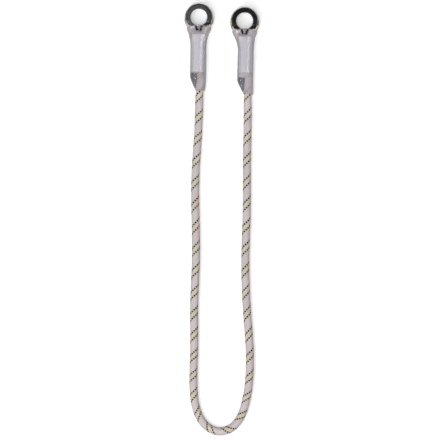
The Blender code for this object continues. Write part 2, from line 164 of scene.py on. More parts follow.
def standing_x(eye, y):
    """Middle of the standing leg from the sewn body to the sleeve's mouth."""
    crossed = ease((CROSSING_START_Y - y) / CROSSING_LENGTH)
    return mix(lean_at(eye, y) + LEG_X, eye["exit_x"], crossed)


def drop_at(y):
    """How far the standing rope has come down from the eye's middle plane."""
    return (EYE_HEIGHT - ROPE_RADIUS - STRAND_CREST) * ease((DROP_START_Y - y) / DROP_LENGTH)


def eye_rows(eye):
    """The rope in an eye: up the tail, round the thimble, down the standing leg."""
    rows = [(lean_at(eye, eye["tail_end"]) - LEG_X, eye["tail_end"], 0.0, *LEG_HALF)]
    rows += [(lean_at(eye, y) - x, y, 0.0, w, h) for x, y, w, h in HALF_LOOP]
    rows += [CROWN]
    rows += [(lean_at(eye, y) + x, y, 0.0, w, h) for x, y, w, h in reversed(HALF_LOOP)]
    for y in (*GRIP_Y, FREE_START_Y):
        squeeze = ease((GRIP_Y[0] - y) / (GRIP_Y[0] - GRIP_Y[-1]))
        halves = [mix(half, GRIPPED_RADIUS, squeeze) for half in LEG_HALF]
        rows.append((standing_x(eye, y), y, -drop_at(y), *halves))
    return np.array(rows) + (*eye["centre"], 0, 0)


print("points round an eye:", len(eye_rows(EYES["left"])))

# %% [markdown]
# ## The free rope
# Between the sleeves the rope lies as it fell, so its route is read from the photograph, a point
# every 30 mm or less. It meets the eyes' rope just inside the sleeves, on points that both share,
# so no kink shows there.

# %% Trace the free rope
ROUTE = (
    (-31.0, 162.0), (-31.5, 145.0), (-32.6, 118.0), (-34.6, 89.0), (-36.2, 60.0), (-36.6, 30.0),
    (-36.0, 1.0), (-35.5, -28.0), (-35.6, -57.0), (-36.8, -87.0), (-37.9, -117.0), (-37.9, -147.0),
    (-38.0, -177.0), (-38.8, -206.0), (-38.9, -230.0), (-37.6, -248.0), (-34.0, -263.5),
    (-28.0, -276.0), (-19.8, -285.2), (-10.2, -290.2), (0.0, -291.5), (9.8, -288.6), (18.2, -282.4),
    (24.8, -273.4), (29.8, -262.0), (33.6, -248.0), (36.6, -231.0), (38.5, -205.0), (38.3, -176.0),
    (36.3, -147.0), (34.2, -117.0), (32.8, -87.0), (32.4, -57.0), (33.1, -27.0), (34.1, 3.0),
    (34.5, 33.0), (34.5, 63.0), (34.8, 93.0), (35.4, 122.0), (35.6, 150.0),
)


def route_rows():
    """The free rope from one sleeve's mouth to the other's."""
    ends, between = [], []
    for eye in EYES.values():
        x, top, z = eye["centre"]
        ends.append([(x + standing_x(eye, y), top + y, z - drop_at(y), GRIPPED_RADIUS, GRIPPED_RADIUS)
                     for y in (*GRIP_Y[-2:], FREE_START_Y)])
    for x, y in ROUTE:
        top = EYES["left" if x < 0 else "right"]["centre"][1]
        between.append((x, y, EYE_HEIGHT - drop_at(y - top), ROPE_RADIUS, ROPE_RADIUS))
    return ends[0] + between + ends[1][::-1]


def distances(path):
    """How far along the path each of its points is."""
    steps = np.linalg.norm(np.diff(path[:, :3], axis=0), axis=1)
    return np.concatenate(([0.0], np.cumsum(steps)))


PATH_STEPS = 24
free_path = natural_spline(route_rows(), PATH_STEPS)[PATH_STEPS:-PATH_STEPS]
left_path = natural_spline(eye_rows(EYES["left"]), PATH_STEPS)[:-PATH_STEPS]
right_path = natural_spline(eye_rows(EYES["right"]), PATH_STEPS)[:-PATH_STEPS][::-1]
for title, path in (("left eye", left_path), ("free rope", free_path), ("right eye", right_path)):
    print(title, "is", round(distances(path)[-1]), "mm of rope")

# %% [markdown]
# ## The braided sheath
# A kernmantle rope's sheath is braided on a round machine. Half of its bobbins go round one way and
# half the other way, over and under each other, so each strand climbs as a helix and shows in every
# other diamond. Here 24 strands with one turn in 30 mm give the photograph's diamonds. A texture
# alone would leave the outline smooth. So the strands are in the mesh: each of its points is raised
# by how high the strand on top stands there.

# %% Heights of the strands
STRANDS_EACH_WAY = 12
DARK_STRANDS = (0, 4)
WAVE_SHARE = 0.36  # of a strand's height, what its going over and under gives
SIDE_FALL = 0.8
DARK_STRAND_LIFT = 0.32  # the black tracers are the tighter yarn and stand proud
WIDENING = 0.15
PHASES = (0.5, 1.5)  # where the strands of each way go over, in strand widths


def strand_height(around, turns):
    """How high the top strand stands, about 0 to 1, at a share of a turn round and turns along."""
    rising, falling = (turns - around) * STRANDS_EACH_WAY, (turns + around) * STRANDS_EACH_WAY
    rising = rising - WIDENING * np.sin(np.pi / 2 * (rising - 0.5))
    heights = []
    for own, other, shift in ((rising, falling, PHASES[0]), (falling, rising, PHASES[1])):
        wave = np.cos(np.pi * (other - np.floor(own) - shift))
        bulge = np.sqrt(1 - SIDE_FALL * (2 * (own % 1) - 1) ** 2)
        heights.append(WAVE_SHARE * wave + (1 - WAVE_SHARE) * bulge)
    heights[0] += DARK_STRAND_LIFT * np.isin(np.floor(rising) % STRANDS_EACH_WAY, DARK_STRANDS)
    return np.maximum(*heights)


grid = np.meshgrid(np.linspace(0, 1, 200), np.linspace(0, 1, 200))
print("mean height of the strands:", round(strand_height(*grid).mean(), 2))

# %% [markdown]
# ## From rings of points to a mesh
# A tube is a row of rings, and NumPy numbers the corners of all its faces at once. For the colours,
# each point's share of a turn round and its turns along go into a UV map.

# %% Rings to a mesh
def sections(path):
    """Across and upward directions at each point of a path that lies nearly flat."""
    along = np.gradient(path[:, :3], axis=0)
    along /= np.linalg.norm(along, axis=1, keepdims=True)
    across = np.cross(along, (0.0, 0.0, 1.0))
    across /= np.linalg.norm(across, axis=1, keepdims=True)
    return across, np.cross(along, across)


def mesh_from_grid(name, points, uv=None, capped=True):
    """A tube from rings of points, with smooth shading, and flat caps or a UV map if wanted."""
    rings, sides = points.shape[:2]
    j, i = np.meshgrid(np.arange(rings - 1), np.arange(sides), indexing="ij")
    here, there = j * sides, (j + 1) * sides
    i_next = (i + 1) % sides
    quads = np.stack((here + i, here + i_next, there + i_next, there + i), -1)
    faces = quads.reshape(-1, 4).tolist()
    if capped:
        faces.append(list(range(sides))[::-1])
        faces.append([(rings - 1) * sides + k for k in range(sides)])
    mesh = bpy.data.meshes.new(name)
    mesh.from_pydata((points.reshape(-1, 3) * MM).tolist(), [], faces)
    mesh.shade_smooth()
    if uv is not None:
        layer = mesh.uv_layers.new(name="braid")
        around = np.stack((i, i + 1, i + 1, i), -1) / sides
        turns = np.stack((uv[j], uv[j], uv[j + 1], uv[j + 1]), -1)
        corners = np.zeros((len(mesh.loops), 2))
        corners[:around.size] = np.stack((around, turns), -1).reshape(-1, 2)
        layer.data.foreach_set("uv", corners.ravel())
    return mesh


# %% [markdown]
# ## Where the braid turns
# A rope turns a little as it is laid down, so the braid's turns aren't quite even along it. Each mark
# is a place, in millimetres from the left sleeve's mouth, with the tracer's turns counted to there.

# %% Turns and places
STRAW_TURN = 0.75 + 2.5 / STRANDS_EACH_WAY  # the middle of the straw yarns faces the camera here
TURN_MARKS = (
    (-290.0, -9.85), (-144.1, -5.033), (-21.5, -1.0), (11.5, 0.0), (70.5, 2.0), (282.2, 9.0),
    (369.2, 12.0), (530.0, 18.0), (584.2, 20.0), (731.5, 25.0), (975.0, 33.0), (1065.0, 36.033),
    (1370.0, 46.1),
)
PLACES, TURNS = zip(*TURN_MARKS)


def turns_at(distance):
    """Turns of the braid at a distance from the left sleeve's mouth."""
    return np.interp(distance, PLACES, TURNS) + STRAW_TURN


def distance_at(turns):
    """Where the braid has made so many turns."""
    return np.interp(turns - STRAW_TURN, TURNS, PLACES)


print("millimetres to a turn:", round(distance_at(31.0) - distance_at(30.0), 1))

# %% [markdown]
# ## A stretch of rope
# Every piece is linked to the scene, gets its finish, rides on the one body that the lanyard has,
# and stands in for its solids. A stretch of rope takes as many rings as its turns of braid need.

# %% Make a stretch of rope
RING_SIDES = 60
RINGS_PER_TURN = 60
STRAND_RISE = 0.42
LEVEL_STRAND = 0.85  # the height that lies on the rope's nominal radius
BUNCHING = 0.1


def add_piece(name, data, finish, slot, *nodes):
    """Links a piece, dresses it, and lets it ride on the body in place of its solids."""
    piece = add_object(name, data)
    data.materials.append(finish)
    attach(piece, "root")
    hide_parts(*nodes)
    return piece


def make_sheath(name, path, start, finish, *nodes):
    """A stretch of braided rope along a path that begins so many millimetres along the lanyard."""
    along = distances(path)
    first, last = turns_at(start), turns_at(start + along[-1])
    turns = np.linspace(first, last, max(2, round((last - first) * RINGS_PER_TURN)))
    at = distance_at(turns) - start
    rows = np.stack([np.interp(at, along, path[:, c]) for c in range(5)], -1)
    across, up = sections(rows)
    around = np.arange(RING_SIDES) / RING_SIDES
    height = strand_height(around[None, :], turns[:, None])
    rise = (height - LEVEL_STRAND) * STRAND_RISE
    angle = 2 * np.pi * around + BUNCHING / 2 * np.sin(4 * np.pi * around)
    wide = (rows[:, 3:4] + rise) * np.cos(angle)
    deep = (rows[:, 4:5] + rise) * np.sin(angle)
    points = rows[:, None, :3] + across[:, None] * wide[..., None] + up[:, None] * deep[..., None]
    mesh = mesh_from_grid(name, points, turns)
    print(name, "has", len(mesh.polygons), "faces and", round(last - first, 1), "turns of braid")
    return add_piece(name, mesh, finish, "rope_sheath", *nodes), rows


# %% [markdown]
# ## Helpers for materials
# A colour from a picture is an sRGB value, and Blender's shaders work in linear light, so one
# function turns the one into the other. Another adds any node, sets its settings, and links its
# inputs. A noise texture counts its features per metre, so a third turns their size into its scale.

# %% Colour and node helpers
def linear(code):
    """The linear colour of an sRGB hex value."""
    parts = [int(code[i:i + 2], 16) / 255 for i in (1, 3, 5)]
    return (*[c / 12.92 if c <= 0.04045 else ((c + 0.055) / 1.055) ** 2.4 for c in parts], 1.0)


def node(tree, kind, *inputs, **settings):
    """Adds a node. Its inputs come in order, or in one dictionary by name or number. Each is a
    value, a socket, or another node for that node's first output."""
    made = tree.nodes.new("ShaderNode" + kind)
    for name, value in settings.items():
        setattr(made, name, value)
    keyed = inputs[0] if inputs and isinstance(inputs[0], dict) else dict(enumerate(inputs))
    for key, value in keyed.items():
        if isinstance(value, bpy.types.Node):
            value = value.outputs[0]
        if isinstance(value, bpy.types.NodeSocket):
            tree.links.new(value, made.inputs[key])
        else:
            made.inputs[key].default_value = value
    return made


def scale_for(size):
    """The scale of a noise whose features are so many millimetres across."""
    return 1 / (size * MM)


def new_material(name):
    """An empty material and its node tree."""
    made = bpy.data.materials.new(name)
    made.use_nodes = True
    made.node_tree.nodes.clear()
    return made, made.node_tree


def finish_with(tree, shader):
    """Ends a tree in the material's output."""
    node(tree, "OutputMaterial", shader)
    print("nodes in the finish:", len(tree.nodes))


# %% [markdown]
# ## Braided polyamide
# The fibres of a polyamide yarn scatter light, so it is matt and mirrors hardly anything. The UV map
# says which strand is on top: of the twelve that climb to the right, two are black with three
# straw-coloured ones between them, and all the others are white. Each strand is three yarns, 0.6 mm
# each, which show as fine ridges. Painted shade darkens the colour where two strands cross and in
# the grooves between the yarns. The fibres are too fine to show, so their fuzz is drawn 0.4 mm
# coarse. Grime comes in wide patches.

# %% Strands in the rope's finish
YARN_WHITE = "#ece1e0"
YARN_STRAW = "#efe4ae"
YARN_BLACK = "#050303"
YARNS_PER_STRAND = 3
GRIME_MM = 16.7
FUZZ_MM = 0.4

rope_finish, tree = new_material("braided polyamide yarn")
braid = node(tree, "SeparateXYZ", node(tree, "UVMap", uv_map="braid"))
around, turns = braid.outputs[0], braid.outputs[1]
rising, falling = [
    node(tree, "Math", node(tree, "Math", turns, around, operation=way), STRANDS_EACH_WAY,
         operation="MULTIPLY") for way in ("SUBTRACT", "ADD")
]
sway = node(tree, "Math", rising, math.pi / 2, -math.pi / 4, operation="MULTIPLY_ADD")
sway = node(tree, "Math", sway, operation="SINE")
rising = node(tree, "Math", sway, -WIDENING, rising, operation="MULTIPLY_ADD")


def strand_nodes(own, other, shift):
    """The nodes for one strand's height, and how far across the strand a point is."""
    strand = node(tree, "Math", own, operation="FLOOR")
    phase = node(tree, "Math", other, strand, operation="SUBTRACT")
    phase = node(tree, "Math", phase, math.pi, -math.pi * shift, operation="MULTIPLY_ADD")
    wave = node(tree, "Math", phase, operation="COSINE")
    across = node(tree, "Math", own, operation="FRACT")
    side = node(tree, "Math", across, 2.0, -1.0, operation="MULTIPLY_ADD")
    side = node(tree, "Math", side, side, operation="MULTIPLY")
    bulge = node(tree, "Math", side, -SIDE_FALL, 1.0, operation="MULTIPLY_ADD")
    bulge = node(tree, "Math", bulge, operation="SQRT")
    bulge = node(tree, "Math", bulge, 1 - WAVE_SHARE, operation="MULTIPLY")
    return node(tree, "Math", wave, WAVE_SHARE, bulge, operation="MULTIPLY_ADD"), across


rising_height, rising_across = strand_nodes(rising, falling, PHASES[0])
falling_height, falling_across = strand_nodes(falling, rising, PHASES[1])
print("nodes for the strands:", len(tree.nodes))

# %% Material of the rope
strand = node(tree, "Math", rising, operation="FLOOR")
for step, value in (("FLOORED_MODULO", STRANDS_EACH_WAY), ("ADD", 0.5), ("DIVIDE", STRANDS_EACH_WAY)):
    strand = node(tree, "Math", strand, value, operation=step)
tracers = node(tree, "ValToRGB", strand)
tracers.color_ramp.interpolation = "CONSTANT"
stops = tracers.color_ramp.elements
stops[0].color = linear(YARN_BLACK)
stops[1].position, stops[1].color = 1 / STRANDS_EACH_WAY, linear(YARN_STRAW)
for position, code in ((DARK_STRANDS[1], YARN_BLACK), (DARK_STRANDS[1] + 1, YARN_WHITE)):
    stops.new(position / STRANDS_EACH_WAY).color = linear(code)
is_dark = node(tree, "Math", node(tree, "RGBToBW", tracers), 0.1, operation="LESS_THAN")
rising_height = node(tree, "Math", is_dark, DARK_STRAND_LIFT, rising_height, operation="MULTIPLY_ADD")
rising_on_top = node(tree, "Math", rising_height, falling_height, operation="GREATER_THAN")
lead = node(tree, "Math", rising_height, falling_height, operation="SUBTRACT")
lead = node(tree, "Math", lead, operation="ABSOLUTE")
yarn = node(tree, "Mix", {0: rising_on_top, 6: linear(YARN_WHITE), 7: tracers}, data_type="RGBA")
ridges = node(tree, "Mix", {0: rising_on_top, 2: falling_across, 3: rising_across})
ridges = node(tree, "Math", ridges, math.pi * YARNS_PER_STRAND, operation="MULTIPLY")
ridges = node(tree, "Math", node(tree, "Math", ridges, operation="SINE"), operation="ABSOLUTE")
# painted shade: the colour darkens where two strands cross (gap_shade) and in the grooves between the
# yarns (ridge_shade)
gap_shade = node(tree, "MapRange", {0: lead, 1: 0.0, 2: 0.25, 3: 0.6, 4: 1.0})
ridge_shade = node(tree, "MapRange", {0: ridges, 3: 0.82, 4: 1.0})
place = node(tree, "NewGeometry").outputs["Position"]
grime = node(tree, "TexNoise", {"Vector": place, "Scale": scale_for(GRIME_MM), "Detail": 3.0})
tone = node(tree, "MapRange", {0: grime, 1: 0.3, 2: 0.7, 3: 0.94, 4: 1.03})
for shade in (gap_shade, ridge_shade):
    tone = node(tree, "Math", tone, shade, operation="MULTIPLY")
tinted = node(tree, "Mix", {0: 1.0, 6: yarn.outputs[2], 7: tone},
              data_type="RGBA", blend_type="MULTIPLY")
fuzz = node(tree, "TexNoise", {"Vector": place, "Scale": scale_for(FUZZ_MM), "Detail": 2.0})
height = node(tree, "Math", fuzz, 0.5, operation="MULTIPLY")
height = node(tree, "Math", ridges, 0.7, height, operation="MULTIPLY_ADD")
bump = node(tree, "Bump", {"Strength": 0.5, "Distance": 0.2 * MM, "Height": height})
finish_with(tree, node(tree, "BsdfPrincipled", {
    "Base Color": tinted.outputs[2], "Roughness": 0.75, "Specular IOR Level": 0.1, "Normal": bump,
}))

# %% [markdown]
# ## The rope itself
# The free rope is the stretch between the sleeves, laid along its path. The
# braid runs on from one stretch to the next, because the lanyard is one length of rope.

# %% Lay the rope
free_length = distances(free_path)[-1]
rope, rope_rows = make_sheath("free_rope", free_path, 0.0, rope_finish, "rope_sheath", "rope_core")
make_sheath("left_eye_rope", left_path, -distances(left_path)[-1], rope_finish,
            "left_eye_sheath", "left_eye_core")
make_sheath("right_eye_rope", right_path, free_length, rope_finish,
            "right_eye_sheath", "right_eye_core")

# %% [markdown]
# ## The thimble
# A thimble keeps the rope's bend wide and takes the wear of the connector. This one is moulded: a
# ring with a rounded bore, a round groove for the rope, and a heel that fills the crotch between the
# legs. Half of the ring's profile is drawn, and the rest is its mirror image.

# %% Profile of the ring
BORE_RADIUS = 11.35
THIMBLE_HALF = 8.5
FLANGE_FLAT = (12.4, 16.6)
FLANGE_ROUND = (1.4, 1.3)
BORE_STRAIGHT = 5.5
FLAT_MARGIN = 0.15
GROOVE_ROOT = 12.25
GROOVE_CENTRE = 15.9
GROOVE_HALF = 7.35


def arc(middle, radii, start, end, count):
    """Points on an oval arc, its angles in degrees."""
    angles = np.radians(np.linspace(start, end, count))
    return [(middle[0] + radii[0] * math.cos(a), middle[1] + radii[1] * math.sin(a)) for a in angles]


def thimble_profile():
    """The ring's section as r, z: flange, groove, lower flange, bore."""
    flange = arc((FLANGE_FLAT[1], THIMBLE_HALF - FLANGE_ROUND[1]), FLANGE_ROUND, 90, 0, 8)
    groove = arc((GROOVE_CENTRE, 0.0), (GROOVE_ROOT - GROOVE_CENTRE, GROOVE_HALF), 90, -90, 25)
    bore_radii = (BORE_RADIUS - FLANGE_FLAT[0], THIMBLE_HALF - BORE_STRAIGHT)
    bore = arc((FLANGE_FLAT[0], BORE_STRAIGHT), bore_radii, 0, 90, 12)
    ends = (FLANGE_FLAT[0] + FLAT_MARGIN, FLANGE_FLAT[1] - FLAT_MARGIN)
    flat = [(r, THIMBLE_HALF) for r in ends]
    mirrored = [(r, -z) for r, z in reversed(bore + flat + flange)]
    return flat + flange + groove + mirrored + bore


print("points on the ring's profile:", len(thimble_profile()))

# %% [markdown]
# ## The blocks that shape the heel
# A block cuts off the flanges below, another adds the heel, ramps take the flanges down to it, and
# four slots core it out, two on each face. Slots keep the wall even, so that the moulding cools
# without sinking. Each cutting block reaches past the ring, as a cutter does.

# %% A block
def prism(outline, low, high, plane="XY", slope=0.0):
    """A closed block: an outline in XY or YZ, drawn out along the third axis, its low end sloped."""
    count = len(outline)
    points = []
    for level, rise in ((low, slope), (high, 0.0)):
        level_at = [level + rise * (b - outline[0][1]) for a, b in outline]
        for (a, b), c in zip(outline, level_at):
            points.append((a, b, c) if plane == "XY" else (c, a, b))
    faces = [list(range(count)), list(range(count, 2 * count))[::-1]]
    faces += [[k, count + k, count + (k + 1) % count, (k + 1) % count] for k in range(count)]
    mesh = bpy.data.meshes.new("block")
    mesh.from_pydata([Vector(p) * MM for p in points], [], faces)
    block = add_object("block", mesh)
    low_end, high_end = mesh.polygons[0], mesh.polygons[1]
    if low_end.normal.dot(low_end.center - high_end.center) < 0:
        mesh.flip_normals()
    return block

# %% Blocks that cut and add
FLANGE_END_Y = -12.0
RAMP_TOP_Y = -6.0
RAMP_SLOPE = 0.235
HEEL_INNER_RADIUS = 11.8
HEEL_HALF = 7.4
HEEL_FLANK = ((8.4, -9.2), (5.05, -17.4), (4.1, -19.3), (2.4, -19.9))
SLOT_ENDS = ((3.9, -12.9), (2.0, -17.9))
SLOT_RADIUS = 1.15
SLOT_FLOOR = 2.2
SLOT_FLOOR_SLOPE = 0.4
REACH = 30.0


def slot_outline(hand):
    """A slot of the heel: a bar with round ends that leans in towards the tip."""
    top, bottom = [Vector((hand * x, y)) for x, y in SLOT_ENDS]
    lean = math.degrees(math.atan2(top.y - bottom.y, top.x - bottom.x))
    radii = (SLOT_RADIUS, SLOT_RADIUS)
    return arc(top, radii, lean - 90, lean + 90, 9) + arc(bottom, radii, lean + 90, lean + 270, 9)


def heel_outline():
    """The heel from the front: its top lies inside the ring's wall, its flanks follow the legs."""
    top = arc((0, 0), (HEEL_INNER_RADIUS, HEEL_INNER_RADIUS), -45, -135, 15)
    left = [(-x, y) for x, y in HEEL_FLANK]
    return top + left + list(HEEL_FLANK[::-1])


def shaping_blocks():
    """Each block with what it does to the ring, in the order of the work."""
    below = [(-REACH, FLANGE_END_Y), (REACH, FLANGE_END_Y), (REACH, -REACH), (-REACH, -REACH)]
    blocks = [
        (prism(below, -REACH, REACH), "DIFFERENCE"),
        (prism(heel_outline(), -HEEL_HALF, HEEL_HALF), "UNION"),
    ]
    for face in (1, -1):
        ends = (RAMP_TOP_Y + 1.0, -REACH)
        ramp = [(y, THIMBLE_HALF - RAMP_SLOPE * (RAMP_TOP_Y - y)) for y in ends]
        ramp = [(y, face * z) for y, z in (*ramp, (ends[1], REACH), (ends[0], REACH))]
        blocks.append((prism(ramp, -REACH, REACH, "YZ"), "DIFFERENCE"))
        for hand in (1, -1):
            slot = prism(slot_outline(hand), face * SLOT_FLOOR, face * REACH,
                         slope=face * SLOT_FLOOR_SLOPE)
            blocks.append((slot, "DIFFERENCE"))
    return blocks


print("corners of the heel's outline:", len(heel_outline()))

# %% [markdown]
# ## Turn and cut the moulding
# A screw modifier turns the profile into the ring, Boolean modifiers shape it, and the result is
# baked into one plain mesh. Faces that meet at more than 40 degrees keep the crisp edge that a steel
# tool leaves.

# %% Make the moulding
THIMBLE_STEPS = 120
CRISP_DEGREES = 40


def thimble_mesh():
    """The whole moulding, in an eye's own frame."""
    profile = [(r * MM, 0, z * MM) for r, z in thimble_profile()]
    count = len(profile)
    wire = bpy.data.meshes.new("ring")
    wire.from_pydata(profile, [(k, (k + 1) % count) for k in range(count)], [])
    ring = add_object("ring", wire)
    turn = ring.modifiers.new("turn", "SCREW")
    turn.steps = turn.render_steps = THIMBLE_STEPS
    turn.use_merge_vertices = True
    turn.merge_threshold = 0.00001
    turn.use_normal_calculate = True
    blocks = shaping_blocks()
    for block, operation in blocks:
        cut = ring.modifiers.new("cut", "BOOLEAN")
        cut.operation, cut.object, cut.solver = operation, block, "EXACT"
    baked = ring.evaluated_get(bpy.context.evaluated_depsgraph_get())
    mesh = bpy.data.meshes.new_from_object(baked)
    mesh.shade_smooth()
    mesh.set_sharp_from_angle(angle=math.radians(CRISP_DEGREES))
    for thing in [ring] + [block for block, _ in blocks]:
        bpy.data.objects.remove(thing, do_unlink=True)
    return mesh


thimble = thimble_mesh()
print("thimble moulding:", len(thimble.polygons), "faces")

# %% [markdown]
# ## Black moulded polyamide
# The moulding is black and glossy from a polished tool, a little scuffed where connectors rub. A
# smooth plastic has an IOR of about 1.5 and reflects only a twenty-fifth of the light that falls
# straight on it, so the black stays black except where a lamp's reflection is seen. The scuffs are
# about 4.5 mm wide, and the plastic's flow left waves of about 11 mm.

# %% Material of the thimbles
SCUFF_MM = 4.55
FLOW_MM = 11.1

moulding_finish, tree = new_material("black moulded polyamide")
place = node(tree, "TexCoord").outputs["Object"]
scuffs = node(tree, "TexNoise", {
    "Vector": place, "Scale": scale_for(SCUFF_MM), "Detail": 6.0, "Roughness": 0.65,
})
roughness = node(tree, "MapRange", {0: scuffs, 1: 0.35, 2: 0.75, 3: 0.06, 4: 0.1})
flow = node(tree, "TexNoise", {"Vector": place, "Scale": scale_for(FLOW_MM), "Detail": 2.0})
bump = node(tree, "Bump", {"Strength": 0.02, "Distance": 0.6 * MM, "Height": flow})
finish_with(tree, node(tree, "BsdfPrincipled", {
    "Base Color": linear("#0c0b0e"), "Roughness": roughness, "IOR": 1.5, "Normal": bump,
}))

# %% [markdown]
# ## A thimble in each eye
# Both eyes have the same moulding from the same tool, so one mesh is copied and moved into place.

# %% Place the thimbles
for side, eye in EYES.items():
    piece = add_piece(f"{side}_thimble_moulding", thimble.copy(), moulding_finish,
                      "thimble", f"{side}_thimble")
    piece.location = [value * MM for value in eye["centre"]]
    print(piece.name, "is at", [round(value, 4) for value in piece.location])

# %% [markdown]
# ## The shrink sleeve's shape
# Heat shrinks the sleeve on to what is in it: flared over the thimble's heel, level over both legs,
# and drawn down past the cut tail to the single rope. Each station down the eye holds y, the arch of
# its edge, half width, half depth and end radius. They are rounded off where they meet. What lies
# under the sleeve takes its shape from it, so the sleeve comes first.

# %% Stations of the sleeve
SLEEVE_WALL = 0.6
SHOULDER_Y = -83.0
MOUTH_Y = -100.8
MOUTH_RADIUS = 6.25
MOUTH_END_RADIUS = 5.9
MOUTH_FLAP = 1.7
COLLAPSE_END = 0.75
TAIL_EDGE_DEPTH = 4.9
TAIL_EDGE_END_RADIUS = 3.2
ROPE_EDGE_DEPTH = 6.7
SLEEVE_STATIONS = np.array((
    (-10.3, 4.0, 17.3, 8.3, 6.0), (-13.2, 3.0, 17.2, 7.75, 5.8),
    (-16.5, 2.0, 16.6, 7.6, 5.8), (-20.0, 1.0, 15.3, 7.6, 5.8),
    (-24.0, 0.3, 13.8, 7.6, 5.8), (-28.5, 0.0, 12.7, 7.6, 6.0),
    (-33.5, 0.0, 11.7, 7.6, 6.0), (-40.0, 0.0, 11.2, 7.7, 6.0),
    (-74.0, 0.0, 11.3, 7.7, 6.0), (-83.0, 0.0, 11.3, 7.3, 6.0),
))[::-1]
SMOOTHING_MM = 5.0
SMOOTHING_SAMPLES = 9


def plain_station(eye, y):
    """Edges, depths and end radii of the sleeve's outside, on straight lines between the stations."""
    above, columns = max(y, SHOULDER_Y), SLEEVE_STATIONS.T
    arch, half, depth, end = [np.interp(above, columns[0], column) for column in columns[1:]]
    lean = lean_at(eye, y)
    row = {
        "y": y, "arch": arch, "z": 0.0, "crest": eye["crest"],
        "left": lean - half, "deep_left": depth, "end_left": end,
        "right": lean + half, "deep_right": depth, "end_right": end,
    }
    if y < SHOULDER_Y:
        u = (SHOULDER_Y - y) / (SHOULDER_Y - MOUTH_Y)
        collapse = min(u / COLLAPSE_END, 1.0)
        closing = ease((u - COLLAPSE_END) / (1.0 - COLLAPSE_END))
        mouth_x = standing_x(eye, MOUTH_Y)
        row.update(
            z=-drop_at(y),
            left=mix(row["left"], mouth_x - MOUTH_RADIUS, u),
            right=mix(row["right"], mouth_x + MOUTH_RADIUS + MOUTH_FLAP, u),
            deep_left=mix(mix(depth, TAIL_EDGE_DEPTH, collapse), MOUTH_RADIUS, closing),
            deep_right=mix(mix(depth, ROPE_EDGE_DEPTH, u), MOUTH_RADIUS, closing),
            end_left=mix(mix(end, TAIL_EDGE_END_RADIUS, collapse), MOUTH_END_RADIUS, closing),
            end_right=mix(end, MOUTH_END_RADIUS + MOUTH_FLAP, closing),
        )
    return row


def sleeve_station(eye, y):
    """The sleeve's outside at a height, smoothed along it, and exact at the two ends."""
    reach = max(0.0, min(SMOOTHING_MM / 2, SLEEVE_STATIONS[-1, 0] - y, y - MOUTH_Y))
    rows = [plain_station(eye, y + step) for step in np.linspace(-reach, reach, SMOOTHING_SAMPLES)]
    return {key: sum(row[key] for row in rows) / len(rows) for key in rows[0]}


for side, eye in EYES.items():
    row = sleeve_station(eye, sum(eye["label"]) / 2)
    print(side, "sleeve's width over the label, mm:", round(row["right"] - row["left"], 1))

# %% Height of the sleeve's front
FILM_CROWN = 0.6


def crown_height(row, x):
    """How much the film bulges over the middle of the legs, over points x across it."""
    middle, half = (row["left"] + row["right"]) / 2, (row["right"] - row["left"]) / 2
    share = np.clip((x - middle - row["crest"]) / half, -1, 1)
    return FILM_CROWN * (1 + np.cos(np.pi * share)) / 2


def sleeve_height(row, x, inset):
    """Height of the sleeve's front, inset from its outside, over points x across it."""
    right = row["right"] - row["end_right"]
    left = row["left"] + row["end_left"]
    share = np.clip((x - left) / max(right - left, 0.01), 0, 1)
    deep = mix(row["deep_left"], row["deep_right"], share) - inset
    past_right = (x - right) / (row["end_right"] - inset)
    past_left = (left - x) / (row["end_left"] - inset)
    beyond = np.clip(np.maximum(past_right, past_left), 0.0, 1.0)
    return row["z"] + crown_height(row, x) + deep * np.sqrt(1.0 - beyond ** 2)


middle = (row["left"] + row["right"]) / 2
print("height of its front there, mm:", round(sleeve_height(row, middle, 0.0), 1))

# %% [markdown]
# ## Heat-sealed polyamide
# A rope-maker cuts slantwise with a hot blade, and the nylon melts into a skin that keeps the core
# in.
# Here the end is coloured near black, in specks of about 4 mm, and that colour makes the grey wedge
# that shows through the sleeve. It set dull and slightly lumpy, so it doesn't glint.

# %% Material of the melted ends
SPECKLE_MM = 3.85

melt_finish, tree = new_material("heat-sealed polyamide")
place = node(tree, "TexCoord").outputs["Object"]
speckle = node(tree, "TexNoise", {"Vector": place, "Scale": scale_for(SPECKLE_MM), "Detail": 4.0})
colour = node(tree, "ValToRGB", speckle)
for stop, (position, code) in zip(colour.color_ramp.elements, ((0.35, "#1c1a20"), (0.7, "#302d37"))):
    stop.position, stop.color = position, linear(code)
bump = node(tree, "Bump", {"Strength": 0.4, "Distance": 0.4 * MM, "Height": speckle})
finish_with(tree, node(tree, "BsdfPrincipled", {
    "Base Color": colour, "Roughness": 0.55, "Normal": bump,
}))

# %% [markdown]
# ## The tail's melted end
# The end fills the sleeve's slanted flank beside the standing rope. It is lofted from oval rings
# that shrink down the slope, and slow waves round and along it make its skin uneven.

# %% Melt the tail ends
GAP = 0.3
TAIL_SEAL = ((-79.5, 5.6), (-83.0, 5.2), (-88.0, 4.3), (-93.0, 3.0), (-97.0, 1.8))
SEAL_SIDES = 32
SEAL_STEPS = 8
MELT_DEPTH = 0.1
SEAL_INSET = 0.5

